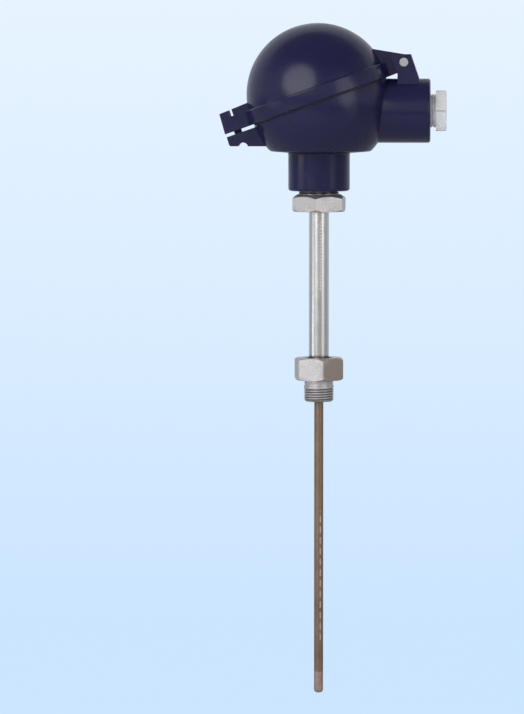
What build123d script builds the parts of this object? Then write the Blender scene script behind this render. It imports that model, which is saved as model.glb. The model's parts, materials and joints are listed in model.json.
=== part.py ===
from build123d import *
import math
import os

# Resistance thermometer with a domed connection head, a neck tube and a thin sheath, in millimetres.
# +Z runs up the probe, +X points to the cable entry and the closing screw is on the -X side.
# The origin lies on the probe axis, at the upper end of the process thread.

# Fits, each a gap per side
PRESS_GAP = 0.02
RUNNING_GAP = 0.06
GUIDE_GAP = 0.10
THREAD_GAP = 0.05
SIDE_GAP = 0.30
LOOSE_GAP = 0.40

# Sheath and what it holds
SHEATH_D = 5.5
SHEATH_WALL = 0.6
INSERTION_L = 190.0
TIP_L = 13.0
TIP_END = 1.2
TIP_ROUND = 2.0
ELEMENT_D = 2.6
ELEMENT_L = 12.0
CONDUCTOR_D = 0.5
CONDUCTOR_PCD = 2.4
PLUG_H = 2.0
PLUG_ROUND = 0.7
SHEATH_PROUD = 2.0

# Process connection
THREAD_D = 18.0
THREAD_L = 9.3
THREAD_CHAMFER = 1.2
RELIEF_D = 17.2
RELIEF_L = 3.6
PROCESS_AF = 27.0
PROCESS_HEX_H = 13.4
PROCESS_TURN = 42.0
WELD_D = 14.6
WELD_DEPTH = 1.0
SOCKET_DEPTH = 8.0

# Neck tube and neck nipple
TUBE_D = 12.0
TUBE_WALL = 2.0
NECK_FREE_L = 88.0
NIPPLE_AF = 30.0
NIPPLE_HEX_H = 10.3
NIPPLE_FACE_D = 26.0
NIPPLE_TURN = 25.0
NIPPLE_THREAD_D = 24.0
NIPPLE_THREAD_SHOWN = 2.1
NIPPLE_THREAD_HELD = 13.0
NIPPLE_TUBE_HELD = 16.0

# Head: the bowl below an inclined parting plane
PARTING_TILT = 19.5
PARTING_X = 0.85
BOWL_R = 42.2
BOWL_WALL = 3.6
BOWL_DEPTH = 30.6
BOWL_FLOOR_T = 4.5
BOWL_CONE_RISE = 2.2
BOWL_EDGE_R = 3.0
NECK_BOSS_D = 37.0
NECK_BOSS_H = 22.6
NECK_BOSS_ROUND = 1.8
NECK_BOSS_FILLET = 1.0
PASSAGE_D = 14.0
THREAD_END_SPACE = 1.5

# Head: the lid above it
LID_LIFT = 0.8
DOME_OVER = 0.6
DOME_RISE = 4.8
DOME_WALL = 3.8
BAND_OVER = 2.8
BAND_TOP = 9.7
BAND_ROUND = 0.8
GASKET_INSET = 0.2
GASKET_W = 2.0
GASKET_T = 2.2
GASKET_GAP = 0.15

# Cable entry with its hollow pressure screw
ENTRY_D = 38.4
ENTRY_DROP = 5.1
ENTRY_REACH = 66.7
ENTRY_ROUND = 1.4
ENTRY_BORE_DEPTH = 20.0
ENTRY_INNER_D = 14.0
GLAND_THREAD_D = 20.0
GLAND_BORE_D = 12.0
GLAND_WASHER_BORE_D = 11.0
GLAND_SHOWN = 3.4
GLAND_HEX_H = 6.2
GLAND_AF = 24.0
GLAND_WASHER_T = 1.0
GLAND_SEAL_T = 8.0
GLAND_SEAL_BORE_D = 10.0

# Hinge
PIN_D = 6.0
PIN_OUT = 10.2
PIN_V = 5.9
KNUCKLE_R = 4.65
KNUCKLE_W = 11.6
EAR_T = 4.6
ARM_ROOT_V = 19.5
EAR_TOP = 4.7
EAR_HEAD_IN = 9.0
EAR_HEAD_OUT = 4.0
EAR_KNEE_OUT = 6.6
EAR_KNEE_DROP = 2.8
EAR_FOOT_OUT = 9.0
EAR_FOOT_IN = 3.8
EAR_WAIST = 6.9
EAR_ROOTED = 8.0
PIN_CHAMFER = 0.4

# Closing lugs and screw
SCREW_OUT = 7.6
SCREW_D = 5.0
SCREW_HEAD_D = 8.4
SCREW_HEAD_H = 3.3
SCREW_SLOT_W = 1.3
SCREW_SLOT_DEPTH = 1.6
SCREW_PLAY = 0.8
WASHER_T = 0.8
LUG_W = 13.0
LUG_REACH = 7.3
LUG_ROUND = 1.5
LUG_TAPER = 1.6
LID_LUG_H = 13.4
LID_LUG_RISE = 0.9
LID_LUG_LEAN = 0.4
LID_LUG_FLOOR = 3.9
LUG_NOTCH_W = 2.0
LUG_NOTCH_DEPTH = 3.6
BODY_LUG_DROP = 1.1
BODY_LUG_RISE = 4.2
SCOOP_R = 3.0
SCOOP_SEAT = 7.2

# Small screws of the insert and the earth terminal
HEAD_CHAMFER = 0.4
SLOT_W = 1.0
SLOT_DEPTH = 1.0
TIP_CHAMFER = 0.5
SCREW_END_SPACE = 0.5

# Measuring insert: plate, terminals, screws and springs
PLATE_D = 42.0
PLATE_T = 2.0
COLLAR_D = 9.0
COLLAR_H = 6.0
COLLAR_CHAMFER = 1.0
MOUNT_PITCH = 33.0
MOUNT_SCREW_D = 4.0
MOUNT_HEAD_D = 7.2
MOUNT_HEAD_H = 2.6
MOUNT_HOLD = 3.6
SPRING_L = 12.0
SPRING_WIRE_D = 0.9
SPRING_D = 6.6
SPRING_TURNS = 5
SPRING_STEPS = 12
BLOCK_D = 40.0
BLOCK_W = 23.0
BLOCK_H = 11.0
BLOCK_HOLE_D = 10.0
POCKET_DEPTH = 5.5
RIB_T = 3.0
TERMINAL_L = 8.5
TERMINAL_H = 7.0
TERMINAL_INSET = 7.8
TERMINAL_CHAMFER = 0.4
TERMINAL_SCREW_D = 3.4
TERMINAL_HEAD_D = 5.4
TERMINAL_HEAD_H = 2.4
WIRE_D = 1.2
WIRE_BEND = 1.5
WIRE_TURN_IN = 0.6
WIRE_IN = 2.0

# Earth terminal in the bowl
EARTH_BOSS_D = 7.2
EARTH_BOSS_H = 2.7
EARTH_CLAMP = 6.4
EARTH_CLAMP_T = 1.0
EARTH_SCREW_D = 4.0
EARTH_HEAD_D = 6.0
EARTH_HEAD_H = 2.4
EARTH_HOLD = 5.0

# Sizes that follow the bowl's
DOME_R = BOWL_R + DOME_OVER
BAND_R = BOWL_R + BAND_OVER
GASKET_OUT = BOWL_R - GASKET_INSET
GASKET_IN = GASKET_OUT - GASKET_W
PIN_U = BAND_R + PIN_OUT
SCREW_U = BAND_R + SCREW_OUT

# Heights that the pieces share
SEAT_Z = RELIEF_L
TIP_Z = SEAT_Z - INSERTION_L
HEX_TOP_Z = SEAT_Z + PROCESS_HEX_H
NIPPLE_Z = HEX_TOP_Z + NECK_FREE_L
BOSS_Z = NIPPLE_Z + NIPPLE_HEX_H + NIPPLE_THREAD_SHOWN
BOWL_Z = BOSS_Z + NECK_BOSS_H
FLOOR_Z = BOWL_Z + BOWL_FLOOR_T
PLATE_TOP_Z = FLOOR_Z + PLATE_T
PARTING_Z = BOWL_Z + BOWL_DEPTH
ENTRY_Z = PARTING_Z - ENTRY_DROP
SHEATH_TOP_Z = PLATE_TOP_Z + SHEATH_PROUD
HEAD_REST_Z = PLATE_TOP_Z + SPRING_L

TILT = math.radians(PARTING_TILT)
ALONG = Vector(math.cos(TILT), 0, math.sin(TILT))
OUTWARD = Vector(-math.sin(TILT), 0, math.cos(TILT))
CENTRE = Vector(PARTING_X, 0, PARTING_Z)
PARTING = Plane(origin=CENTRE, x_dir=ALONG, z_dir=OUTWARD)
SIDE = Plane(origin=CENTRE, x_dir=ALONG, z_dir=(0, -1, 0))
BIG = 4 * BAND_R
LUG_U = SCREW_U + LUG_REACH
EAR_IN = KNUCKLE_W / 2 + SIDE_GAP
EAR_OUT = EAR_IN + EAR_T


def in_world(u, v):
    """A point of the parting frame, as world x and z."""
    point = CENTRE + ALONG * u + OUTWARD * v
    return point.X, point.Z


def outer_corners(lug):
    """The two corner edges of a lug's outer end."""
    across = [edge for edge in lug.edges() if abs(edge.tangent_at(0.5).Y) < 0.5]
    return sorted(across, key=lambda edge: edge.center().X)[:2]


def rod(diameter, low, high, x=0.0, y=0.0):
    """An upright round bar between two heights."""
    low_end = (Align.CENTER, Align.CENTER, Align.MIN)
    return Pos(x, y, low) * Cylinder(diameter / 2, high - low, align=low_end)


def turned(points):
    """A solid turned about Z from its half section in r and z."""
    return revolve(Plane.XZ * make_face(Polyline(*points, close=True)), Axis.Z)


def prism(points, width, plane=Plane.XZ):
    """A plate of the given outline, centred on the middle plane."""
    return extrude(plane * make_face(Polyline(*points, close=True)), amount=width / 2, both=True)


def across_corners(across_flats):
    """The widest measure of a hexagon."""
    return across_flats / math.cos(math.pi / 6)


def hexagon(across_flats, height, low, turn, low_face_d, high_face_d):
    """A hexagon whose ends are turned at 30 degrees, down to a face of the given diameter."""
    corner_r = across_corners(across_flats) / 2
    low_drop = (corner_r - low_face_d / 2) * math.tan(math.pi / 6)
    high_drop = (corner_r - high_face_d / 2) * math.tan(math.pi / 6)
    bar = extrude(RegularPolygon(across_flats / 2, 6, major_radius=False), amount=height)
    outline = [
        (0, 0),
        (low_face_d / 2, 0),
        (corner_r, low_drop),
        (corner_r, height - high_drop),
        (high_face_d / 2, height),
        (0, height),
    ]
    turned_form = turned(list(dict.fromkeys(outline)))
    return Pos(0, 0, low) * Rot(0, 0, turn) * (bar & turned_form)


def slotted_screw(thread_d, head_d, head_h, held, slot_w=SLOT_W, slot_depth=SLOT_DEPTH):
    """A cheese head screw on Z, with its head's underside at z = 0."""
    r = thread_d / 2
    head_r = head_d / 2
    body = turned(
        [
            (0, -held),
            (r - TIP_CHAMFER, -held),
            (r, TIP_CHAMFER - held),
            (r, 0),
            (head_r, 0),
            (head_r, head_h - HEAD_CHAMFER),
            (head_r - HEAD_CHAMFER, head_h),
            (0, head_h),
        ]
    )
    slot = Pos(0, 0, head_h) * Box(slot_w, head_d + 1, 2 * slot_depth)
    return body - slot


def process_fitting():
    """The screwed process connection, with a socket for the neck tube and a guide bore for the sheath."""
    r = THREAD_D / 2
    neck_r = RELIEF_D / 2
    shank = turned(
        [
            (0, -THREAD_L),
            (r - THREAD_CHAMFER, -THREAD_L),
            (r, THREAD_CHAMFER - THREAD_L),
            (r, 0),
            (neck_r, 0),
            (neck_r, SEAT_Z + 1),
            (0, SEAT_Z + 1),
        ]
    )
    body = shank + hexagon(PROCESS_AF, PROCESS_HEX_H, SEAT_Z, PROCESS_TURN, PROCESS_AF, PROCESS_AF)
    body -= rod(SHEATH_D + 2 * GUIDE_GAP, -THREAD_L - 1, HEX_TOP_Z)
    body -= rod(TUBE_D + 2 * PRESS_GAP, HEX_TOP_Z - SOCKET_DEPTH, HEX_TOP_Z + 1)
    return body - rod(WELD_D, HEX_TOP_Z - WELD_DEPTH, HEX_TOP_Z + 1)


def extension_tube():
    """The plain neck tube, seated in the fitting and in the nipple."""
    low = HEX_TOP_Z - SOCKET_DEPTH
    high = NIPPLE_Z + NIPPLE_TUBE_HELD
    return rod(TUBE_D, low, high) - rod(TUBE_D - 2 * TUBE_WALL, low - 1, high + 1)


def neck_nipple():
    """The hexagon nipple that screws up into the head."""
    top = BOSS_Z + NIPPLE_THREAD_HELD
    r = NIPPLE_THREAD_D / 2
    stub = turned(
        [
            (0, NIPPLE_Z + 1),
            (r, NIPPLE_Z + 1),
            (r, top - THREAD_CHAMFER),
            (r - THREAD_CHAMFER, top),
            (0, top),
        ]
    )
    body = stub + hexagon(NIPPLE_AF, NIPPLE_HEX_H, NIPPLE_Z, NIPPLE_TURN, NIPPLE_AF, NIPPLE_FACE_D)
    body -= rod(TUBE_D - 2 * TUBE_WALL, NIPPLE_Z - 1, top + 1)
    return body - rod(TUBE_D + 2 * PRESS_GAP, NIPPLE_Z - 1, NIPPLE_Z + NIPPLE_TUBE_HELD)


def below_parting(shape):
    """Trims a shape to the body's side of the parting plane."""
    return shape & (PARTING * Pos(0, 0, -BIG / 2) * Box(BIG, BIG, BIG))


def entry_plane(x):
    """The cable entry's own frame, with its axis along +X from the given x."""
    return Plane(origin=(x, 0, ENTRY_Z), x_dir=(0, 1, 0), z_dir=(1, 0, 0))


def bowl():
    """The bowl's outer form: a ball on a shallow cone, cut off at the parting plane."""
    flat_r = NECK_BOSS_D / 2 - abs(PARTING_X) - NECK_BOSS_FILLET
    cone = turned(
        [
            (0, BOWL_Z),
            (flat_r, BOWL_Z),
            (BIG / 2, BOWL_Z + BOWL_CONE_RISE * (BIG / 2 - flat_r) / (BOWL_R - flat_r)),
            (BIG / 2, PARTING_Z + BIG),
            (0, PARTING_Z + BIG),
        ]
    )
    form = (Pos(*CENTRE) * Sphere(BOWL_R)) & (Pos(PARTING_X, 0, 0) * cone)
    edge = form.edges().sort_by(Axis.Z).filter_by(GeomType.CIRCLE).group_by(SortBy.LENGTH)[-1]
    return below_parting(fillet(edge, BOWL_EDGE_R))


def body_lug():
    """The body's closing lug, flat underneath, with a scoop below the screw hole."""
    low = BOWL_Z + BODY_LUG_RISE
    left, top = in_world(-LUG_U, -BODY_LUG_DROP)
    wall_r = BOWL_R - BOWL_WALL / 2
    inner_x, inner_z = in_world(-wall_r, -BODY_LUG_DROP)
    foot_x = PARTING_X - math.sqrt(wall_r**2 - (PARTING_Z - low) ** 2)
    outline = [(left, top), (left + LUG_TAPER, low), (foot_x, low), (inner_x, inner_z)]
    lug = prism(outline, LUG_W)
    outer_foot = lug.edges().filter_by(Axis.Y).group_by(Axis.Z)[0].sort_by(Axis.X)[0]
    lug = fillet([*outer_corners(lug), outer_foot], LUG_ROUND)
    return lug - SIDE * Pos(-SCREW_U, -SCOOP_SEAT - SCOOP_R, 0) * Cylinder(SCOOP_R, LUG_W + 2)


def hinge_ears():
    """The two upright plates that hold the hinge pin, standing on the cable entry."""
    pin_x, pin_z = in_world(PIN_U, PIN_V)
    root = ENTRY_Z + ENTRY_D / 2
    outline = [
        (pin_x - EAR_HEAD_IN, pin_z + EAR_TOP),
        (pin_x + EAR_HEAD_OUT, pin_z + EAR_TOP),
        (pin_x + EAR_KNEE_OUT, pin_z - EAR_KNEE_DROP),
        (pin_x + EAR_FOOT_OUT, root),
        (pin_x + EAR_FOOT_OUT, root - EAR_ROOTED),
        (pin_x - EAR_FOOT_IN, root - EAR_ROOTED),
        (pin_x - EAR_FOOT_IN, pin_z - EAR_WAIST),
    ]
    block = prism(outline, 2 * EAR_OUT)
    return block - Pos(pin_x, 0, pin_z) * Box(BIG, 2 * EAR_IN, 2 * (pin_z - root))


def at_boss_root(edge):
    """Whether an edge runs round the neck boss, where it leaves the bowl."""
    middle = edge @ 0.5
    round_boss = abs(math.hypot(middle.X, middle.Y) - NECK_BOSS_D / 2) < PRESS_GAP
    return round_boss and abs(middle.Z - BOWL_Z) < NECK_BOSS_FILLET


def head_body():
    """The cast bowl with its neck boss, cable entry, hinge ears and closing lug."""
    entry_start = BOWL_R / 2
    entry = entry_plane(entry_start) * Cylinder(
        ENTRY_D / 2, ENTRY_REACH - entry_start, align=(Align.CENTER, Align.CENTER, Align.MIN)
    )
    entry = fillet(entry.edges().sort_by(Axis.X)[-1], ENTRY_ROUND)
    boss = rod(NECK_BOSS_D, BOSS_Z, FLOOR_Z)
    boss = fillet(boss.edges().sort_by(Axis.Z)[0], NECK_BOSS_ROUND)
    body = bowl() + boss
    body = fillet([edge for edge in body.edges() if at_boss_root(edge)], NECK_BOSS_FILLET)
    body += below_parting(entry) + body_lug() + hinge_ears()
    hollow = Pos(*CENTRE) * Sphere(BOWL_R - BOWL_WALL)
    hollow &= Pos(PARTING_X, 0, FLOOR_Z) * Box(BIG, BIG, BIG, align=(Align.CENTER, Align.CENTER, Align.MIN))
    body -= hollow
    body += earth_boss()
    return body - head_body_bores()


def earth_x():
    """How far the earth boss stands from the axis, just clear of the insert's plate."""
    return -(PLATE_D + EARTH_BOSS_D) / 2 - LOOSE_GAP


def earth_top():
    """Height of the earth boss, on the floor or where the wall leaves room for the clamp."""
    reach = math.hypot(PARTING_X - earth_x() + EARTH_CLAMP / 2, EARTH_CLAMP / 2) + LOOSE_GAP
    slope_z = PARTING_Z - math.sqrt((BOWL_R - BOWL_WALL) ** 2 - reach**2)
    return max(FLOOR_Z, slope_z) + EARTH_BOSS_H


def earth_boss():
    """The earth terminal's boss on the bowl's floor."""
    return rod(EARTH_BOSS_D, FLOOR_Z - 1, earth_top(), earth_x())


def head_body_bores():
    """All holes of the cast body."""
    nipple_top = BOSS_Z + NIPPLE_THREAD_HELD
    cuts = rod(NIPPLE_THREAD_D + 2 * THREAD_GAP, BOSS_Z - 1, nipple_top + THREAD_END_SPACE)
    cuts += rod(PASSAGE_D, BOSS_Z, FLOOR_Z + 1)
    for side in (-1, 1):
        y = side * MOUNT_PITCH / 2
        low = FLOOR_Z - MOUNT_HOLD - SCREW_END_SPACE
        cuts += rod(MOUNT_SCREW_D + 2 * THREAD_GAP, low, FLOOR_Z + 1, 0, y)
    top = earth_top()
    cuts += rod(EARTH_SCREW_D + 2 * THREAD_GAP, top - EARTH_HOLD - SCREW_END_SPACE, top + 1, earth_x())
    along = (Align.CENTER, Align.CENTER, Align.MIN)
    mouth = entry_plane(ENTRY_REACH - ENTRY_BORE_DEPTH)
    cuts += mouth * Cylinder(GLAND_THREAD_D / 2 + THREAD_GAP, ENTRY_BORE_DEPTH + 1, align=along)
    inward = (Align.CENTER, Align.CENTER, Align.MAX)
    cuts += mouth * Cylinder(ENTRY_INNER_D / 2, ENTRY_BORE_DEPTH, align=inward)
    cuts += SIDE * Pos(PIN_U, PIN_V, 0) * Cylinder(PIN_D / 2 + PRESS_GAP, 2 * EAR_OUT + 2)
    hole = Cylinder(SCREW_D / 2 + SCREW_PLAY, SCOOP_SEAT + SCOOP_R, align=inward)
    return cuts + PARTING * Pos(-SCREW_U, 0, 0) * hole


def tangent_point(outside, centre, radius, side):
    """Where a line from a point outside a circle touches it, on the side asked for."""
    du, dv = centre[0] - outside[0], centre[1] - outside[1]
    away = math.hypot(du, dv)
    turn = math.atan2(dv, du) + side * math.asin(radius / away)
    reach = math.sqrt(away**2 - radius**2)
    return outside[0] + reach * math.cos(turn), outside[1] + reach * math.sin(turn)


def lid_arm():
    """The lid's hinge arm, from the dome's flank to a round knuckle on the pin."""
    pin = (PIN_U, PIN_V)
    root_u = math.sqrt(DOME_R**2 - (ARM_ROOT_V - DOME_RISE) ** 2)
    upper = tangent_point((root_u, ARM_ROOT_V), pin, KNUCKLE_R, 1)
    lower = tangent_point((BAND_R - 1, LID_LIFT), pin, KNUCKLE_R, -1)
    inner_u = DOME_R - DOME_WALL / 2
    outline = [
        (inner_u - DOME_WALL, LID_LIFT),
        (BAND_R - 1, LID_LIFT),
        lower,
        pin,
        upper,
        (root_u, ARM_ROOT_V),
        (root_u - DOME_WALL, ARM_ROOT_V),
    ]
    arm = prism(outline, KNUCKLE_W, SIDE)
    return arm + SIDE * Pos(*pin) * Cylinder(KNUCKLE_R, KNUCKLE_W)


def lid_lug():
    """The lid's closing lug, with a counterbore for the screw head and a notch for the driver."""
    along = (Align.CENTER, Align.CENTER, Align.MIN)
    inner_u = DOME_R - DOME_WALL / 2
    outline = [
        (-LUG_U - LID_LUG_LEAN, LID_LIFT),
        (-inner_u, LID_LIFT),
        (-inner_u, LID_LUG_H + LID_LUG_RISE),
        (-LUG_U + LID_LUG_LEAN, LID_LUG_H),
    ]
    lug = prism(outline, LUG_W, SIDE)
    lug = fillet(outer_corners(lug), LUG_ROUND)
    seat = LID_LIFT + LID_LUG_FLOOR
    bore_d = SCREW_HEAD_D + 4 * LOOSE_GAP
    lug -= PARTING * Pos(-SCREW_U, 0, seat) * Cylinder(bore_d / 2, LID_LUG_H, align=along)
    lug -= PARTING * Pos(-SCREW_U, 0, LID_LUG_H) * Box(LUG_NOTCH_W, LUG_W + 2, 2 * LUG_NOTCH_DEPTH)
    return lug - PARTING * Pos(-SCREW_U, 0, 0) * Cylinder(SCREW_D / 2 + LOOSE_GAP, seat + 1, align=along)


def head_lid():
    """The cast dome with its rim band, hinge arm and closing lug."""
    along = (Align.CENTER, Align.CENTER, Align.MIN)
    dome_at = PARTING * Pos(0, 0, DOME_RISE)
    band = PARTING * Pos(0, 0, LID_LIFT) * Cylinder(BAND_R, BAND_TOP - LID_LIFT, align=along)
    band = fillet(band.edges().filter_by(GeomType.CIRCLE), BAND_ROUND)
    above = PARTING * Pos(0, 0, LID_LIFT) * Box(BIG, BIG, BIG, align=along)
    lid = ((dome_at * Sphere(DOME_R)) & above) + band + lid_arm() + lid_lug()
    lid -= dome_at * Sphere(DOME_R - DOME_WALL)
    groove = Cylinder(GASKET_OUT + GASKET_GAP, GASKET_T, align=along)
    groove -= Cylinder(GASKET_IN - GASKET_GAP, GASKET_T, align=along)
    lid -= PARTING * groove
    return lid - SIDE * Pos(PIN_U, PIN_V, 0) * Cylinder(PIN_D / 2 + RUNNING_GAP, KNUCKLE_W + 2)


def lid_gasket():
    """The flat ring in the lid's groove, resting on the body's rim."""
    along = (Align.CENTER, Align.CENTER, Align.MIN)
    ring = Cylinder(GASKET_OUT, GASKET_T, align=along) - Cylinder(GASKET_IN, GASKET_T, align=along)
    return PARTING * ring


def hinge_pin():
    """The plain pin, flush with the ears."""
    pin = SIDE * Pos(PIN_U, PIN_V, 0) * Cylinder(PIN_D / 2, 2 * EAR_OUT)
    return chamfer(pin.edges().filter_by(GeomType.CIRCLE), PIN_CHAMFER)


def washer_seat():
    """Height of the lid lug's floor above the parting plane."""
    return LID_LIFT + LID_LUG_FLOOR


def closing_screw():
    """The captive slotted screw of the lid."""
    head_v = washer_seat() + WASHER_T
    held = head_v + SCOOP_SEAT - LOOSE_GAP
    screw = slotted_screw(SCREW_D, SCREW_HEAD_D, SCREW_HEAD_H, held, SCREW_SLOT_W, SCREW_SLOT_DEPTH)
    return PARTING * Pos(-SCREW_U, 0, head_v) * screw


def closing_screw_washer():
    """The washer under the closing screw's head."""
    along = (Align.CENTER, Align.CENTER, Align.MIN)
    washer = Cylinder(SCREW_HEAD_D / 2 + LOOSE_GAP, WASHER_T, align=along)
    washer -= Cylinder(SCREW_D / 2 + RUNNING_GAP, WASHER_T, align=along)
    return PARTING * Pos(-SCREW_U, 0, washer_seat()) * washer


def gland_start():
    """Where the gland's stack begins, on the step of the entry's bore."""
    return ENTRY_REACH - ENTRY_BORE_DEPTH


def gland_ring(start, thickness, bore_d):
    """A ring of the gland's stack, by its start along X."""
    along = (Align.CENTER, Align.CENTER, Align.MIN)
    ring = Cylinder(GLAND_THREAD_D / 2 - LOOSE_GAP, thickness, align=along)
    return entry_plane(start) * (ring - Cylinder(bore_d / 2, thickness, align=along))


def gland_washers():
    """The two thrust washers, one on each side of the seal."""
    first = gland_ring(gland_start(), GLAND_WASHER_T, GLAND_WASHER_BORE_D)
    second_start = gland_start() + GLAND_WASHER_T + GLAND_SEAL_T
    return first, gland_ring(second_start, GLAND_WASHER_T, GLAND_WASHER_BORE_D)


def gland_seal():
    """The rubber ring that grips the cable."""
    return gland_ring(gland_start() + GLAND_WASHER_T, GLAND_SEAL_T, GLAND_SEAL_BORE_D)


def cable_gland_screw():
    """The hollow hexagon screw that presses the seal."""
    start = gland_start() + 2 * GLAND_WASHER_T + GLAND_SEAL_T
    thread_l = ENTRY_REACH + GLAND_SHOWN - start
    r = GLAND_THREAD_D / 2
    shank = turned(
        [
            (0, 0),
            (r - THREAD_CHAMFER, 0),
            (r, THREAD_CHAMFER),
            (r, thread_l + 1),
            (0, thread_l + 1),
        ]
    )
    screw = shank + hexagon(GLAND_AF, GLAND_HEX_H, thread_l, 0, across_corners(GLAND_AF), GLAND_AF)
    screw -= rod(GLAND_BORE_D, -1, thread_l + GLAND_HEX_H + 1)
    return entry_plane(start) * screw


def probe_sheath():
    """The thin metal sheath, from the terminals down to its welded tip."""
    low = TIP_Z + TIP_L
    bore_d = SHEATH_D - 2 * SHEATH_WALL
    return rod(SHEATH_D, low, SHEATH_TOP_Z) - rod(bore_d, low - 1, SHEATH_TOP_Z + 1)


def sheath_tip():
    """The closed, rounded tip."""
    tip = rod(SHEATH_D, TIP_Z, TIP_Z + TIP_L)
    tip = fillet(tip.edges().sort_by(Axis.Z)[0], TIP_ROUND)
    return tip - rod(SHEATH_D - 2 * SHEATH_WALL, TIP_Z + TIP_END, TIP_Z + TIP_L + 1)


def conductor_places():
    """The four conductors' places round the axis."""
    r = CONDUCTOR_PCD / 2
    turns = [math.radians(45 + 90 * step) for step in range(4)]
    return [(r * math.cos(turn), r * math.sin(turn)) for turn in turns]


def element_top():
    """Height of the measuring resistor's upper end."""
    return TIP_Z + TIP_END + SHEATH_WALL + ELEMENT_L


def rtd_element():
    """The wire-wound measuring resistor, a round ceramic rod in the tip."""
    return rod(ELEMENT_D, element_top() - ELEMENT_L, element_top())


def mineral_core():
    """The pressed oxide powder round the resistor and the conductors."""
    bore_d = SHEATH_D - 2 * SHEATH_WALL
    core = rod(bore_d - 2 * PRESS_GAP, TIP_Z + TIP_END + PRESS_GAP, SHEATH_TOP_Z)
    core -= rod(ELEMENT_D + 2 * PRESS_GAP, element_top() - ELEMENT_L - PRESS_GAP, element_top())
    for x, y in conductor_places():
        core -= rod(CONDUCTOR_D + 2 * PRESS_GAP, element_top(), SHEATH_TOP_Z + 1, x, y)
    return core


def inner_conductors():
    """The four bare conductors, from the resistor to the end seal."""
    return [rod(CONDUCTOR_D, element_top(), SHEATH_TOP_Z, x, y) for x, y in conductor_places()]


def potting_plug():
    """The end seal on top of the sheath, with the four leads coming out of it."""
    plug = rod(SHEATH_D, SHEATH_TOP_Z, SHEATH_TOP_Z + PLUG_H)
    return fillet(plug.edges().sort_by(Axis.Z)[-1], PLUG_ROUND)


def insert_collar():
    """The collar below the plate that the sheath is brazed into."""
    collar = rod(COLLAR_D, FLOOR_Z - COLLAR_H, FLOOR_Z)
    collar = chamfer(collar.edges().sort_by(Axis.Z)[0], COLLAR_CHAMFER)
    return collar - rod(SHEATH_D + 2 * PRESS_GAP, FLOOR_Z - COLLAR_H - 1, FLOOR_Z + 1)


def insert_plate():
    """The round plate that carries the terminals, lying on the bowl's floor."""
    plate = rod(PLATE_D, FLOOR_Z, PLATE_TOP_Z)
    plate -= rod(SHEATH_D + 2 * PRESS_GAP, FLOOR_Z - 1, PLATE_TOP_Z + 1)
    for side in (-1, 1):
        y = side * MOUNT_PITCH / 2
        plate -= rod(MOUNT_SCREW_D + 2 * SIDE_GAP, FLOOR_Z - 1, PLATE_TOP_Z + 1, 0, y)
    return plate


def insert_screws():
    """The two screws of the plate, with the springs under their heads."""
    held = SPRING_L + PLATE_T + MOUNT_HOLD
    screw = slotted_screw(MOUNT_SCREW_D, MOUNT_HEAD_D, MOUNT_HEAD_H, held)
    return [Pos(0, side * MOUNT_PITCH / 2, HEAD_REST_Z) * screw for side in (-1, 1)]


def insert_springs():
    """The two coil springs between the plate and the screw heads."""
    wire_r = SPRING_WIRE_D / 2
    coil_r = SPRING_D / 2 - wire_r
    rise = SPRING_L - 2 * wire_r
    count = SPRING_TURNS * SPRING_STEPS
    turn = 2 * math.pi / SPRING_STEPS
    points = [
        (coil_r * math.cos(turn * step), coil_r * math.sin(turn * step), rise * step / count)
        for step in range(count + 1)
    ]
    line = Polyline(*points)
    section = Plane(origin=line @ 0, z_dir=line % 0) * RegularPolygon(wire_r, 8)
    coil = sweep(section, path=line, transition=Transition.RIGHT)
    return [Pos(0, side * MOUNT_PITCH / 2, PLATE_TOP_Z + wire_r) * coil for side in (-1, 1)]


def terminal_places():
    """Each terminal's centre on the block, with the signs of its corner."""
    x = TERMINAL_INSET + TERMINAL_L / 2
    y = RIB_T / 2 + terminal_width() / 2
    return [(sx * x, sy * y, sx, sy) for sx in (-1, 1) for sy in (-1, 1)]


def terminal_width():
    """Width of a terminal between the middle rib and the block's outer rib."""
    return (BLOCK_W - 3 * RIB_T) / 2


def terminal_floor():
    """Height of the pockets' floor."""
    return PLATE_TOP_Z + BLOCK_H - POCKET_DEPTH


def terminal_block():
    """The ceramic base, with a pocket for each terminal and a hole for the leads."""
    block = rod(BLOCK_D, PLATE_TOP_Z, PLATE_TOP_Z + BLOCK_H)
    block &= Pos(0, 0, PLATE_TOP_Z + BLOCK_H / 2) * Box(BLOCK_D, BLOCK_W, BLOCK_H)
    block -= rod(BLOCK_HOLE_D, PLATE_TOP_Z - 1, PLATE_TOP_Z + BLOCK_H + 1)
    width = terminal_width() + 2 * PRESS_GAP
    along = (Align.MIN, Align.CENTER, Align.MIN)
    for x, y, sx, sy in terminal_places():
        pocket = Box(BLOCK_D / 2, width, POCKET_DEPTH + 1, align=along)
        block -= Pos(0, y, terminal_floor()) * Rot(0, 0, 0 if sx > 0 else 180) * pocket
    return block


def terminal_posts():
    """The four brass terminals, each with a cross hole for the wire and a tapped hole."""
    posts = []
    wire_hole = WIRE_D + 2 * LOOSE_GAP
    for x, y, sx, sy in terminal_places():
        post = Box(TERMINAL_L, terminal_width(), TERMINAL_H, align=(Align.CENTER, Align.CENTER, Align.MIN))
        post = chamfer(post.edges().group_by(Axis.Z)[-1], TERMINAL_CHAMFER)
        post -= rod(TERMINAL_SCREW_D + 2 * THREAD_GAP, TERMINAL_H / 2, TERMINAL_H + 1)
        post -= Pos(0, 0, TERMINAL_H / 2) * Rot(0, 90, 0) * Cylinder(wire_hole / 2, TERMINAL_L + 2)
        posts.append(Pos(x, y, terminal_floor()) * post)
    return posts


def terminal_screws():
    """The four clamping screws of the terminals."""
    screw = slotted_screw(TERMINAL_SCREW_D, TERMINAL_HEAD_D, TERMINAL_HEAD_H, TERMINAL_H / 2)
    top = terminal_floor() + TERMINAL_H
    return [Pos(x, y, top) * screw for x, y, sx, sy in terminal_places()]


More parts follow.
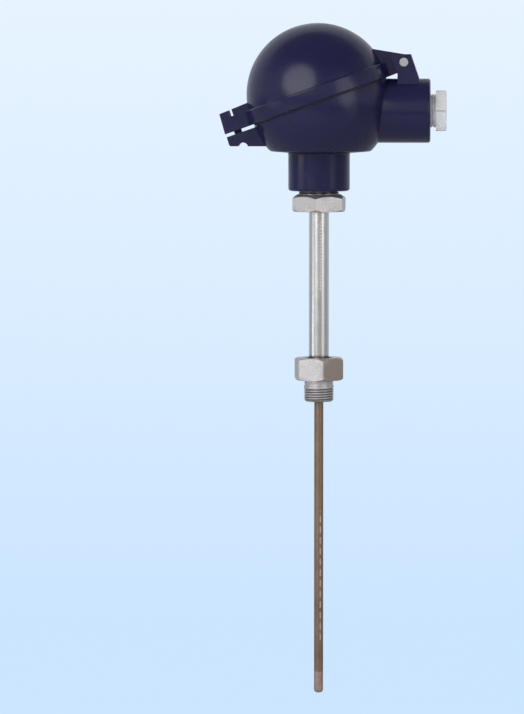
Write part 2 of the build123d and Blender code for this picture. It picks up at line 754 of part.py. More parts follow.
def insert_wires():
    """The four leads, up out of the end seal and across to their terminals."""
    start = SHEATH_TOP_Z + PLUG_H
    level = terminal_floor() + TERMINAL_H / 2
    leads = []
    for x, y, sx, sy in terminal_places():
        root = WIRE_D
        path = FilletPolyline(
            (sx * root, sy * root, start),
            (sx * root, sy * root, level),
            (sx * WIRE_TURN_IN * TERMINAL_INSET, y, level),
            (sx * (TERMINAL_INSET + WIRE_IN), y, level),
            radius=WIRE_BEND,
        )
        section = Plane(origin=path @ 0, z_dir=path % 0) * Circle(WIRE_D / 2)
        leads.append(sweep(section, path=path))
    return leads


def earth_clamp():
    """The square clamp plate of the earth terminal."""
    low = earth_top()
    plate = Pos(earth_x(), 0, low + EARTH_CLAMP_T / 2) * Box(EARTH_CLAMP, EARTH_CLAMP, EARTH_CLAMP_T)
    return plate - rod(EARTH_SCREW_D + 2 * THREAD_GAP, low - 1, low + EARTH_CLAMP_T + 1, earth_x())


def earth_screw():
    """The earth terminal's screw."""
    screw = slotted_screw(EARTH_SCREW_D, EARTH_HEAD_D, EARTH_HEAD_H, EARTH_HOLD + EARTH_CLAMP_T)
    return Pos(earth_x(), 0, earth_top() + EARTH_CLAMP_T) * screw


def write(name, shape):
    """Writes one node, which may hold several separate solids."""
    if isinstance(shape, (list, tuple)):
        shape = Compound(children=[Part(piece.wrapped) for piece in shape])
    export_step(shape, os.path.join("parts", name + ".step"))


def main():
    os.makedirs("parts", exist_ok=True)
    washers = gland_washers()
    write("process_fitting", process_fitting())
    write("extension_tube", extension_tube())
    write("neck_nipple", neck_nipple())
    write("head_body", head_body())
    write("head_lid", head_lid())
    write("lid_gasket", lid_gasket())
    write("hinge_pin", hinge_pin())
    write("closing_screw", closing_screw())
    write("closing_screw_washer", closing_screw_washer())
    write("cable_gland_screw", cable_gland_screw())
    write("gland_washer_inner", washers[0])
    write("gland_washer_outer", washers[1])
    write("gland_seal", gland_seal())
    write("probe_sheath", probe_sheath())
    write("sheath_tip", sheath_tip())
    write("rtd_element", rtd_element())
    write("mineral_core", mineral_core())
    write("inner_conductors", inner_conductors())
    write("potting_plug", potting_plug())
    write("insert_collar", insert_collar())
    write("insert_plate", insert_plate())
    write("insert_screws", insert_screws())
    write("insert_springs", insert_springs())
    write("terminal_block", terminal_block())
    write("terminal_posts", terminal_posts())
    write("terminal_screws", terminal_screws())
    write("insert_wires", insert_wires())
    write("earth_clamp", earth_clamp())
    write("earth_screw", earth_screw())


main()
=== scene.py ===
"""Resistance thermometer with a domed connection head: threads, spring wire, finishes and studio."""

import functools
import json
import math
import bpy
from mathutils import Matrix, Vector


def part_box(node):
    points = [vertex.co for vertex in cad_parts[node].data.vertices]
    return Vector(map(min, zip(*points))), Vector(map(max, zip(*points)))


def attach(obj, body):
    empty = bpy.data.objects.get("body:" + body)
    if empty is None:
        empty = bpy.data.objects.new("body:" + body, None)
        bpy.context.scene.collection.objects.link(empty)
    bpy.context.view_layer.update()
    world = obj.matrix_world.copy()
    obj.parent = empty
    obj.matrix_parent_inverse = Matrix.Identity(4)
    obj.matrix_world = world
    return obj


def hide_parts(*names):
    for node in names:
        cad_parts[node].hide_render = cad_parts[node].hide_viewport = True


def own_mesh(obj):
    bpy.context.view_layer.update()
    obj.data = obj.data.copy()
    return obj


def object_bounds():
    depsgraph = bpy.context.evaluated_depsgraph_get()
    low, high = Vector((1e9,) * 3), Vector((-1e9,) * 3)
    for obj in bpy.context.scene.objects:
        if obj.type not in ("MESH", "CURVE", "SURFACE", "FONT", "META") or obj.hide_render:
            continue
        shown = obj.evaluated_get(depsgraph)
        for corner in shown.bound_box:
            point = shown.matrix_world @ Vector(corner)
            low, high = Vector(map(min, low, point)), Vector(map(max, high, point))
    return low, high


bl_info = {
    "name": "Resistance thermometer",
    "version": (1, 0, 0),
    "blender": (4, 5, 0),
    "location": "3D View > Sidebar > Thermometer",
    "description": "Cuts the threads, winds the springs and gives every piece its finish",
    "category": "Object",
}

import bpy
from bpy.props import FloatProperty, FloatVectorProperty, IntProperty, PointerProperty
from mathutils import Vector

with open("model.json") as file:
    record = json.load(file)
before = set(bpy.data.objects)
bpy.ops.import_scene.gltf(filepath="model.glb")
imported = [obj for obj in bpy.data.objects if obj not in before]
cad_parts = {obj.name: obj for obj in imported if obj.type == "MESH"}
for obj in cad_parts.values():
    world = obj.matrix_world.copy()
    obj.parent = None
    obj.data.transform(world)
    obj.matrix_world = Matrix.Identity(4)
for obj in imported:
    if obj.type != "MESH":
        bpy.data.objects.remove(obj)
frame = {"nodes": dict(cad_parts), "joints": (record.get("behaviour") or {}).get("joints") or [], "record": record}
CAD_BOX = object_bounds()
MM = 0.001
SMOOTH_ANGLE = math.radians(32)
WELD_NEAR = 0.002 * MM

# Thread grooves, in shares of the pitch, with how far their cutter stands out of the barrel and how
# near to the thread's radius a vertex counts as the barrel's

GROOVE_START = 0.5
GROOVE_OVERRUN = 2
GROOVE_FLANK = 0.44
CUTTER_PROUD = 0.2 * MM
BARREL_NEAR = 0.04 * MM

# Springs, whose first and last turns rise by a share of the wire's diameter

COIL_STEPS = 32
WIRE_SIDES = 10
CLOSED_COIL = 1.04
SPRING_SEAT_GAP = 0.02 * MM

# Places on the model that the finishes keep to

TUBE_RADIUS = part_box("extension_tube")[1][0]
SHEATH_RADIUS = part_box("probe_sheath")[1][0]
FITTING_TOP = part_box("process_fitting")[1][2]
NIPPLE_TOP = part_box("neck_nipple")[1][2]
NIPPLE_HEXAGON_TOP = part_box("neck_nipple")[0][2] + 10.3 * MM
STRAW_TINT_AT = (13.0 * MM, -12.5 * MM, 9.0 * MM)

# The plain rows of marks on the neck tube and the sheath

DOTS_LOW = 57.7 * MM
DOTS_HIGH = 99.7 * MM
DOTS_ROUND_TO = math.radians(-80)
DASHES_LOW = -155.3 * MM
DASHES_HIGH = -75.5 * MM
DASHES_ROUND_TO = math.radians(-66)
DASH_HALF_LENGTH = 1.6 * MM
MARK_HALF_WIDTH = 0.42 * MM

# Colours of weld scorch, painted shade, the weave and marks

# This and the next colour darken the neck tube's foot and the fitting round it: weld scorch and painted contact
# shade
FOOT_SHADE_AND_SCORCH_ON_FITTING = (0.045, 0.038, 0.036)
FOOT_SHADE_AND_SCORCH_ON_TUBE = (0.070, 0.060, 0.058)
# painted shade in the process thread's grooves
PAINTED_GROOVE_SHADE = (0.085, 0.080, 0.078)
# painted shade and reflection of the dark boss on the nipple's thread
PAINTED_BOSS_SHADE = (0.040, 0.036, 0.072)
# painted shade along the gland hexagon's corners
PAINTED_CORNER_SHADE = (0.10, 0.09, 0.10)
WEAVE_SHADOW = (0.16, 0.13, 0.12)
DOT_PALE = (0.92, 0.92, 0.92)
DASH_PALE = (0.62, 0.58, 0.53)

# Backdrop and camera, in metres, with the sensor in millimetres

FLOOR_DROP = 0.06
PAPER_FRONT = -8.0
PAPER_BACK = 3.0
PAPER_TOP = 6.0
PAPER_HALF_WIDTH = 10.0
PAPER_BEND = 1.0
BEND_STEPS = 24
SENSOR_HEIGHT = 24.0

# Each soft light's name, its place and the point that it faces, its width and height, the setting
# for its power, its share of that power, and its shape

SOFT_LIGHTS = (
    ("Large soft box", (-0.80, -1.35, 0.80), (0, 0, 0.15), (1.65, 1.55), "key_power", 1.0, "ELLIPSE"),
    ("Small soft box", (1.06, -1.03, 0.44), (0, 0, 0.16), (0.80, 0.90), "fill_power", 1.0, "ELLIPSE"),
    ("Left card", (-1.50, -0.52, -0.12), (0, 0, -0.12), (0.66, 0.22), "card_power", 1.0, "RECTANGLE"),
    ("Right card", (1.28, -0.88, -0.12), (0, 0, -0.12), (0.60, 0.22), "card_power", 0.3, "RECTANGLE"),
)

# Settings that like properties share

LENGTH = {"unit": "LENGTH", "precision": 4}
FINE_LENGTH = {"unit": "LENGTH", "precision": 5}
COLOUR = {"subtype": "COLOR", "min": 0.0, "max": 1.0}


# Sizes and colours that a user would change


class ThermometerSizes(bpy.types.PropertyGroup):
    """Sizes of the detail that is added to the CAD model."""

    process_thread: FloatProperty(
        name="Process thread",
        description="Outer diameter of the process connection's thread",
        default=18.0 * MM,
        **LENGTH,
    )
    neck_thread: FloatProperty(
        name="Neck thread",
        description="Outer diameter of the nipple's thread in the head",
        default=24.0 * MM,
        **LENGTH,
    )
    gland_thread: FloatProperty(
        name="Gland thread",
        description="Outer diameter of the hollow gland screw's thread",
        default=20.0 * MM,
        **LENGTH,
    )
    pitch: FloatProperty(
        name="Thread pitch",
        description="Pitch of the process, neck and gland threads",
        default=1.5 * MM,
        **FINE_LENGTH,
    )
    closing_thread: FloatProperty(
        name="Closing screw thread",
        description="Outer diameter of the lid's closing screw",
        default=5.0 * MM,
        **LENGTH,
    )
    closing_pitch: FloatProperty(
        name="Closing screw pitch",
        description="Pitch of the lid's closing screw",
        default=0.8 * MM,
        **FINE_LENGTH,
    )
    thread_depth: FloatProperty(
        name="Thread depth",
        description="Depth of a thread groove, as a share of the pitch",
        default=0.58,
    )
    spring_wire: FloatProperty(
        name="Spring wire",
        description="Diameter of the springs' wire",
        default=0.9 * MM,
        **FINE_LENGTH,
    )
    spring_turns: IntProperty(
        name="Spring turns",
        description="Turns of each spring under the insert's screws",
        default=6,
        min=3,
    )
    edge_round: FloatProperty(
        name="Edge rounding",
        description="Radius of the lacquered castings' edges",
        default=0.45 * MM,
        **FINE_LENGTH,
    )
    dot_pitch: FloatProperty(
        name="Dot pitch",
        description="Distance between the plain dots on the neck tube",
        default=2.0 * MM,
        **LENGTH,
    )
    dash_pitch: FloatProperty(
        name="Dash pitch",
        description="Distance between the plain dashes on the sheath",
        default=6.5 * MM,
        **LENGTH,
    )


class ThermometerFinish(bpy.types.PropertyGroup):
    """Colours of the finishes."""

    lacquer: FloatVectorProperty(
        name="Lacquer",
        description="Gloss lacquer on the cast head",
        default=(0.0105, 0.0099, 0.0490),
        **COLOUR,
    )
    steel: FloatVectorProperty(
        name="Turned steel",
        description="Stainless steel of the process fitting and the nipple",
        default=(0.66, 0.64, 0.645),
        **COLOUR,
    )
    tube: FloatVectorProperty(
        name="Neck tube",
        description="Drawn stainless steel of the neck tube",
        default=(0.74, 0.73, 0.725),
        **COLOUR,
    )
    sheath: FloatVectorProperty(
        name="Annealed sheath",
        description="Nickel alloy sheath, browned by annealing",
        default=(0.285, 0.195, 0.140),
        **COLOUR,
    )
    tip: FloatVectorProperty(
        name="Welded tip",
        description="Brushed end of the sheath",
        default=(0.45, 0.345, 0.32),
        **COLOUR,
    )
    nickel: FloatVectorProperty(
        name="Nickel plate",
        description="Nickel plated brass of the gland screw",
        default=(0.93, 0.945, 0.975),
        **COLOUR,
    )
    zinc: FloatVectorProperty(
        name="Zinc plate",
        description="Plating of the small screws",
        default=(0.62, 0.63, 0.65),
        **COLOUR,
    )
    brass: FloatVectorProperty(
        name="Brass",
        description="Terminals of the insert",
        default=(0.70, 0.50, 0.22),
        **COLOUR,
    )
    ceramic: FloatVectorProperty(
        name="Ceramic",
        description="Glazed base of the terminals",
        default=(0.80, 0.77, 0.69),
        **COLOUR,
    )


class ThermometerStudio(bpy.types.PropertyGroup):
    """Camera, lights and backdrop."""

    distance: FloatProperty(
        name="Camera distance",
        description="From the camera to the middle of the view",
        default=2.5,
        unit="LENGTH",
    )
    elevation: FloatProperty(
        name="Camera elevation",
        description="Angle that the camera looks down by",
        default=math.radians(4.18),
        subtype="ANGLE",
    )
    azimuth: FloatProperty(
        name="Camera azimuth",
        description="How far the camera stands round to the right",
        default=math.radians(3.0),
        subtype="ANGLE",
    )
    view_height: FloatProperty(
        name="View height",
        description="Height of the view at the camera's distance",
        default=0.4304,
        **LENGTH,
    )
    aim: FloatVectorProperty(
        name="Aim",
        description="Middle of the view",
        default=(-0.0343, 0.0, 0.0172),
        subtype="TRANSLATION",
        precision=4,
    )
    key_power: FloatProperty(
        name="Large soft box power",
        description="Power of the large soft box on the left",
        default=19.0,
        unit="POWER",
    )
    fill_power: FloatProperty(
        name="Small soft box power",
        description="Power of the small soft box on the right",
        default=3.0,
        unit="POWER",
    )
    card_power: FloatProperty(
        name="Low card power",
        description="Power of the low cards that the neck tube and the hexagons shine with",
        default=0.8,
        unit="POWER",
    )
    paper_low: FloatVectorProperty(
        name="Paper, near",
        description="Colour of the pale floor",
        default=(0.59, 0.77, 1.0),
        **COLOUR,
    )
    paper_high: FloatVectorProperty(
        name="Paper, far",
        description="Colour of the wall that the floor curves up into",
        default=(0.81, 0.90, 1.0),
        **COLOUR,
    )
    room: FloatProperty(
        name="Room light",
        description="Brightness of the room all round",
        default=0.65,
    )


# Modelling with Blender's own tools


def joint(name):
    """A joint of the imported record."""
    return next(entry for entry in frame["joints"] if entry["name"] == name)


def body_of(node):
    """The body that a CAD node belongs to."""
    bodies = frame["record"]["behaviour"]["bodies"]
    return next(body for body, nodes in bodies.items() if node in nodes)


def select_only(obj):
    bpy.ops.object.select_all(action="DESELECT")
    obj.select_set(True)
    bpy.context.view_layer.objects.active = obj


def edit(obj, *steps):
    """Runs edit-mode steps on the whole of one mesh."""
    select_only(obj)
    bpy.ops.object.mode_set(mode="EDIT")
    bpy.ops.mesh.select_all(action="SELECT")
    for step in steps:
        step()
    bpy.ops.object.mode_set(mode="OBJECT")


def close_ends(obj):
    """Fills the open ends of a swept mesh and turns its faces outwards."""
    edit(
        obj,
        lambda: bpy.ops.mesh.fill_holes(sides=0),
        lambda: bpy.ops.mesh.normals_make_consistent(inside=False),
    )


def smooth(obj):
    select_only(obj)
    bpy.ops.object.shade_smooth_by_angle(angle=SMOOTH_ANGLE)


def settle(obj, name):
    """Names a piece and puts its place, turn and scale into its mesh."""
    select_only(obj)
    bpy.ops.object.transform_apply(location=True, rotation=True, scale=True)
    obj.name = name
    obj.data.name = name
    return obj


def finish_modifier(obj, kind, **settings):
    """Adds a modifier and applies it."""
    select_only(obj)
    bpy.ops.object.modifier_add(type=kind)
    modifier = obj.modifiers[-1]
    for key, value in settings.items():
        setattr(modifier, key, value)
    bpy.ops.object.modifier_apply(modifier=modifier.name)


def wind(obj, pitch, turns, steps):
    """Sweeps a profile into a helix round its own Z axis."""
    finish_modifier(
        obj,
        "SCREW",
        axis="Z",
        screw_offset=pitch,
        iterations=turns,
        steps=steps,
        render_steps=steps,
        use_merge_vertices=False,
    )


def take_over(node, name):
    """A welded, smoothly shaded copy of a CAD node, which then stands for it."""
    piece = bpy.data.objects.new(name, frame["nodes"][node].data.copy())
    bpy.context.scene.collection.objects.link(piece)
    piece.data.name = name
    select_only(piece)
    if piece.data.has_custom_normals:
        bpy.ops.mesh.customdata_custom_splitnormals_clear()
    edit(piece, lambda: bpy.ops.mesh.remove_doubles(threshold=WELD_NEAR))
    smooth(piece)
    return piece


def hand_over(piece, node, material):
    """Gives a finished piece its material and the body of the node that it stands for, and hides that node."""
    piece.data.materials.clear()
    piece.data.materials.append(material)
    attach(piece, body_of(node))
    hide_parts(node)


def dress(material, *nodes):
    """Gives CAD nodes their finish where their shape is already right."""
    for node in nodes:
        obj = frame["nodes"][node]
        if not obj.material_slots:
            obj.data.materials.append(material)
        for slot in obj.material_slots:
            slot.material = material


def cut_thread(piece, at, axis, diameter, pitch, steps=48):
    """Cuts a helical groove into a barrel, from its shoulder along the axis to its free end."""
    at, axis, radius = Vector(at), Vector(axis).normalized(), diameter / 2
    heights = []
    for vertex in piece.data.vertices:
        height = (vertex.co - at).dot(axis)
        if abs((vertex.co - at - axis * height).length - radius) < BARREL_NEAR:
            heights.append(height)
    low, high = min(heights) + GROOVE_START * pitch, max(heights) + GROOVE_OVERRUN * pitch
    depth = bpy.context.scene.thermometer_sizes.thread_depth * pitch
    outside, flank = radius + CUTTER_PROUD, GROOVE_FLANK * pitch
    bpy.ops.object.select_all(action="DESELECT")
    bpy.ops.mesh.primitive_circle_add(vertices=3, radius=depth)
    cutter = bpy.context.object
    profile = ((radius - depth, 0, 0), (outside, 0, flank), (outside, 0, -flank))
    for vertex, place in zip(cutter.data.vertices, profile):
        vertex.co = Vector(place) + Vector((0, 0, low))
    wind(cutter, pitch, math.ceil((high - low) / pitch), steps)
    close_ends(cutter)
    cutter.rotation_euler = axis.to_track_quat("Z", "Y").to_euler()
    cutter.location = at
    finish_modifier(piece, "BOOLEAN", object=cutter, operation="DIFFERENCE", solver="EXACT")
    bpy.data.objects.remove(cutter)
    smooth(piece)


# Shader building


class Shade:
    """A material or node group under construction."""

    def __init__(self, tree):
        self.tree = tree

    def node(self, kind, **settings):
        made = self.tree.nodes.new(kind)
        for key, value in settings.items():
            setattr(made, key, value)
        return made

    def give(self, socket, value):
        """Links an input socket to an output, or sets its value."""
        if isinstance(value, bpy.types.NodeSocket):
            self.tree.links.new(value, socket)
        else:
            socket.default_value = value

    def feed(self, made, **values):
        """Gives input sockets by name, with spaces written as underscores."""
        for key, value in values.items():
            self.give(made.inputs[key.replace("_", " ")], value)
        return made

    def group(self, tree, **values):
        made = self.node("ShaderNodeGroup")
        made.node_tree = tree
        return self.feed(made, **values)

    def split(self, vector):
        """The X, Y and Z of a vector."""
        return self.feed(self.node("ShaderNodeSeparateXYZ"), Vector=vector).outputs

    def math(self, operation, *values):
        made = self.node("ShaderNodeMath", operation=operation)
        for socket, value in zip(made.inputs, values):
            self.give(socket, value)
        return made.outputs[0]

    def times(self, first, second):
        return self.math("MULTIPLY", first, second)

    def length(self, first, second):
        """The length that two measures at right angles span."""
        return self.math("SQRT", self.math("MULTIPLY_ADD", first, first, self.times(second, second)))

    def ranged(self, tone, low, high):
        """A value that follows a tone, from low at 0 to high at 1."""
        return self.math("MULTIPLY_ADD", tone, high - low, low)

    def between(self, value, low, high, start=0.0, end=1.0, smooth=True):
        """Maps a value from one range to another, clamped."""
        made = self.node("ShaderNodeMapRange", interpolation_type="SMOOTHSTEP" if smooth else "LINEAR")
        self.feed(made, Value=value, From_Min=low, From_Max=high, To_Min=start, To_Max=end)
        return made.outputs["Result"]

    def blend(self, factor, first, second):
        """A colour between two, by a factor."""
        made = self.node("ShaderNodeMix", data_type="RGBA")
        self.give(made.inputs[0], factor)
        for socket, colour in zip(made.inputs[6:8], (first, second)):
            self.give(socket, colour if isinstance(colour, bpy.types.NodeSocket) else (*colour, 1.0))
        return made.outputs[2]


def new_group(name, inputs, outputs):
    """An empty shader node group with the given sockets."""
    tree = bpy.data.node_groups.new(name, "ShaderNodeTree")
    for label, kind, default in inputs:
        socket = tree.interface.new_socket(label, in_out="INPUT", socket_type="NodeSocket" + kind)
        if default is not None:
            socket.default_value = default
    for label in outputs:
        tree.interface.new_socket(label, in_out="OUTPUT", socket_type="NodeSocketFloat")
    shade = Shade(tree)
    return tree, shade, shade.node("NodeGroupInput").outputs, shade.node("NodeGroupOutput").inputs


def shared(name, build):
    """A node group, built the first time that a material asks for it."""
    return bpy.data.node_groups.get(name) or build(name)


def build_grain(name):
    """Fine unevenness at one size, as a height and a tone."""
    tree, shade, given, put = new_group(
        name,
        [("Vector", "Vector", None), ("Size", "Float", 1.0 * MM), ("Roughness", "Float", 0.55)],
        ["Height", "Tone"],
    )
    noise = shade.node("ShaderNodeTexNoise", noise_dimensions="3D")
    scale = shade.math("DIVIDE", 1.0, given["Size"])
    shade.feed(noise, Vector=given["Vector"], Scale=scale, Detail=4.0, Roughness=given["Roughness"])
    shade.give(put["Height"], noise.outputs["Fac"])
    shade.give(put["Tone"], shade.between(noise.outputs["Fac"], 0.36, 0.64))
    return tree


def build_tool_marks(name):
    """Fine rings left by a turning tool: along the axis on a barrel, across the radius on an end face."""
    tree, shade, given, put = new_group(
        name,
        [("Vector", "Vector", None), ("Feed", "Float", 0.2 * MM), ("Facing", "Float", 0.0)],
        ["Height", "Tone"],
    )
    x, y, z = shade.split(given["Vector"])
    along = shade.node("ShaderNodeMix", data_type="FLOAT")
    for socket, value in zip((0, 2, 3), (given["Facing"], z, shade.length(y, x))):
        shade.give(along.inputs[socket], value)
    lines = shade.node("ShaderNodeTexNoise", noise_dimensions="1D")
    steps = shade.math("DIVIDE", along.outputs[0], given["Feed"])
    shade.feed(lines, W=steps, Scale=1.0, Detail=3.0, Roughness=0.6)
    shade.give(put["Height"], lines.outputs["Fac"])
    shade.give(put["Tone"], shade.between(lines.outputs["Fac"], 0.35, 0.65))
    return tree


def build_handling(name):
    """Broad, faint smears, as hands and cloths leave them on metal and lacquer."""
    tree, shade, given, put = new_group(
        name,
        [("Vector", "Vector", None), ("Size", "Float", 20.0 * MM)],
        ["Smear"],
    )
    noise = shade.node("ShaderNodeTexNoise", noise_dimensions="3D")
    scale = shade.math("DIVIDE", 1.0, given["Size"])
    shade.feed(noise, Vector=given["Vector"], Scale=scale, Detail=5.0, Roughness=0.62, Distortion=0.4)
    shade.give(put["Smear"], shade.between(noise.outputs["Fac"], 0.42, 0.68))
    return tree


def build_mark_row(name):
    """A row of plain dots or dashes along a barrel round Z, as a mask."""
    tree, shade, given, put = new_group(
        name,
        [
            ("Vector", "Vector", None),
            ("Barrel radius", "Float", 6.0 * MM),
            ("Angle", "Float", 0.0),
            ("Low", "Float", 0.0),
            ("High", "Float", 100.0 * MM),
            ("Pitch", "Float", 2.0 * MM),
            ("Half length", "Float", 0.0),
            ("Half width", "Float", 0.3 * MM),
        ],
        ["Mask"],
    )
    x, y, z = shade.split(given["Vector"])
    turned = shade.math("SUBTRACT", shade.math("ARCTAN2", y, x), given["Angle"])
    across = shade.times(turned, given["Barrel radius"])
    up = shade.math("MODULO", shade.math("SUBTRACT", z, given["Low"]), given["Pitch"])
    along = shade.math("ABSOLUTE", shade.math("SUBTRACT", up, shade.times(given["Pitch"], 0.5)))
    past = shade.math("MAXIMUM", shade.math("SUBTRACT", along, given["Half length"]), 0.0)
    mark = shade.math("LESS_THAN", shade.length(past, across), given["Half width"])
    above = shade.math("GREATER_THAN", z, given["Low"])
    below = shade.math("LESS_THAN", z, given["High"])
    shade.give(put["Mask"], shade.times(mark, shade.times(above, below)))
    return tree


class Finish(Shade):
    """A material with its Principled shader and Object coordinates ready."""

    def __init__(self, name, **plain):
        self.material = bpy.data.materials.new(name)
        self.material.use_nodes = True
        super().__init__(self.material.node_tree)
        self.bsdf = self.tree.nodes["Principled BSDF"]
        self.place = self.node("ShaderNodeTexCoord").outputs["Object"]
        self.sizes = bpy.context.scene.thermometer_sizes
        self.colours = bpy.context.scene.thermometer_finish
        self.feed(self.bsdf, **plain)

    def grain(self, size, roughness):
        """Height and tone of the grain."""
        made = self.group(shared("Grain", build_grain), Vector=self.place, Size=size, Roughness=roughness)
        return made.outputs["Height"], made.outputs["Tone"]

    def tool_marks(self, feed, facing=0.0):
        """Height and tone of the turning rings."""
        rings = shared("Tool marks", build_tool_marks)
        made = self.group(rings, Vector=self.place, Feed=feed, Facing=facing)
        return made.outputs["Height"], made.outputs["Tone"]

    def handling(self, size):
        return self.group(shared("Handling", build_handling), Vector=self.place, Size=size).outputs["Smear"]

    def mark_row(self, radius, angle, low, high, pitch, half_length):
        made = self.group(
            shared("Mark row", build_mark_row),
            Vector=self.place,
            Barrel_radius=radius,
            Angle=angle,
            Low=low,
            High=high,
            Pitch=pitch,
            Half_length=half_length,
            Half_width=MARK_HALF_WIDTH,
        )
        return made.outputs["Mask"]

    def bump(self, height, distance, normal=None):
        made = self.feed(self.node("ShaderNodeBump"), Height=height, Distance=distance)
        if normal is not None:
            self.feed(made, Normal=normal)
        return made.outputs["Normal"]

    def end_facing(self):
        """1 on faces across Z and 0 on faces along it."""
        z = self.split(self.node("ShaderNodeNewGeometry").outputs["Normal"])["Z"]
        return self.between(self.math("ABSOLUTE", z), 0.6, 0.8)

    def grained(self, size, detail, colours, roughness, depth, by=None):
        """A whole skin from one fine grain, whose two colours mix by the grain's tone or by a mask."""
        height, tone = self.grain(size, detail)
        self.feed(
            self.bsdf,
            Base_Color=self.blend(by or tone, *colours),
            Roughness=self.ranged(tone, *roughness),
            Normal=self.bump(height, depth),
        )


def finish(name, **plain):
    """Turns a function that fills in a finish into one that returns it, built on the first call."""

    def wrap(fill):
        @functools.wraps(fill)
        def material():
            if name not in bpy.data.materials:
                fill(Finish(name, **plain))
            return bpy.data.materials[name]

        return material

    return wrap


def tinted(colour, tint):
    return tuple(part * share for part, share in zip(colour, tint))


def dimmed(colour, share):
    return tuple(part * share for part in colour)


@finish("Gloss lacquer", IOR=1.38)
def lacquer(made):
    """Gloss black-blue lacquer, sprayed on a casting."""
    colour = made.colours.lacquer
    paler = tuple(1.5 * part + 0.003 for part in colour)
    peel = made.grain(2.6 * MM, 0.4)[0]
    dust_height, dust = made.grain(0.35 * MM, 0.7)
    rounded = made.feed(made.node("ShaderNodeBevel", samples=4), Radius=made.sizes.edge_round)
    normal = made.bump(peel, 0.05 * MM, rounded.outputs["Normal"])
    made.feed(
        made.bsdf,
        Base_Color=made.blend(made.times(dust, 0.35), colour, paler),
        Roughness=made.ranged(made.handling(18.0 * MM), 0.21, 0.28),
        Normal=made.bump(dust_height, 0.005 * MM, normal),
    )


def straw_tint(made):
    """A patch on one face of the fitting's hexagon that heat has turned straw brown, as a mask."""
    reach = made.node("ShaderNodeVectorMath", operation="DISTANCE")
    for socket, value in zip(reach.inputs, (made.place, STRAW_TINT_AT)):
        made.give(socket, value)
    return made.between(reach.outputs["Value"], 12.5 * MM, 8.5 * MM, 0.0, 0.85)


def shaded_weld_ring(made, radius, z):
    """The ring where the neck tube stands in the fitting, darkened partly as weld scorch and partly as painted
    contact shade, as a mask.
    """
    inside = made.between(radius, TUBE_RADIUS + 2.6 * MM, TUBE_RADIUS + 1.2 * MM)
    above = made.between(z, FITTING_TOP - 1.0 * MM, FITTING_TOP - 0.2 * MM)
    below = made.between(z, FITTING_TOP + 3.0 * MM, FITTING_TOP + 2.0 * MM, 0.0, 0.9)
    return made.times(made.times(inside, above), below)


def shaded_grooves(made, radius, z):
    """Painted shade deep in the process thread's grooves, as a mask."""
    crest = made.sizes.process_thread / 2
    deep = made.between(radius, crest - 0.2 * MM, crest - 0.6 * MM)
    return made.times(deep, made.between(z, 0.0, -0.4 * MM, 0.0, 0.45))


def painted_neck_shade(made, z):
    """Painted shade and reflection of the dark boss above, laid on the nipple's thread in patches, as a mask."""
    above = made.between(z, NIPPLE_HEXAGON_TOP + 0.05 * MM, NIPPLE_HEXAGON_TOP + 0.15 * MM)
    below = made.between(z, NIPPLE_TOP + 2.0 * MM, NIPPLE_TOP + 1.0 * MM)
    patches = made.between(made.grain(2.2 * MM, 0.6)[0], 0.44, 0.56, 0.45, 0.95)
    return made.times(made.times(above, below), patches)


@finish("Turned steel")
def turned_steel(made):
    """Stainless steel with turning rings on its barrels and a mottled skin on its flats."""
    steel = made.colours.steel
    x, y, z = made.split(made.place)
    radius = made.length(y, x)
    rings = made.tool_marks(0.16 * MM, made.end_facing())[0]
    mottle_height, mottle = made.grain(0.8 * MM, 0.8)
    smears = made.times(made.handling(9.0 * MM), 0.3)
    # painted shade and reflection of the dark boss on the nipple's thread, with less metal there
    neck_shade = painted_neck_shade(made, z)
    skin = made.blend(made.math("MULTIPLY_ADD", mottle, 0.7, smears), steel, dimmed(steel, 0.60))
    skin = made.blend(straw_tint(made), skin, tinted(steel, (0.54, 0.45, 0.38)))
    # a dark ring round the neck tube's foot: partly weld scorch, partly painted contact shade in the crease
    skin = made.blend(shaded_weld_ring(made, radius, z), skin, FOOT_SHADE_AND_SCORCH_ON_FITTING)
    # painted shade in the deep of the process thread's grooves
    skin = made.blend(shaded_grooves(made, radius, z), skin, PAINTED_GROOVE_SHADE)
    made.feed(
        made.bsdf,
        Base_Color=made.blend(neck_shade, skin, PAINTED_BOSS_SHADE),
        Metallic=made.ranged(neck_shade, 0.85, 0.15),
        Roughness=made.ranged(mottle, 0.32, 0.48),
        Normal=made.bump(mottle_height, 0.09 * MM, made.bump(rings, 0.010 * MM)),
    )


@finish("Drawn tube")
def drawn_tube(made):
    """Drawn tube, satin along its length and darkened at its foot partly by weld scorch and partly by painted
    contact shade, with a plain row of pale dots.
    """
    tube = made.colours.tube
    stretched = made.feed(made.node("ShaderNodeMapping"), Vector=made.place, Scale=(1.0, 1.0, 0.02))
    streaks = made.node("ShaderNodeTexNoise")
    made.feed(streaks, Vector=stretched.outputs[0], Scale=2600.0, Detail=3.0, Roughness=0.6)
    streak = streaks.outputs["Fac"]
    dots = made.mark_row(TUBE_RADIUS, DOTS_ROUND_TO, DOTS_LOW, DOTS_HIGH, made.sizes.dot_pitch, 0.0)
    height = made.split(made.place)["Z"]
    # the tube's foot, darkened as weld scorch and as painted contact shade where it stands in the fitting
    foot_shade_and_scorch = made.between(height, FITTING_TOP + 2.2 * MM, FITTING_TOP + 0.6 * MM, 0.0, 0.85)
    skin = made.blend(made.times(streak, 0.7), tube, dimmed(tube, 0.78))
    skin = made.blend(foot_shade_and_scorch, skin, FOOT_SHADE_AND_SCORCH_ON_TUBE)
    dimples = made.math("SUBTRACT", 1.0, dots)
    made.feed(
        made.bsdf,
        Base_Color=made.blend(dots, skin, DOT_PALE),
        Metallic=made.ranged(dots, 1.0, 0.15),
        Roughness=made.ranged(made.handling(12.0 * MM), 0.23, 0.27),
        Normal=made.bump(dimples, 0.06 * MM, made.bump(streak, 0.006 * MM)),
    )


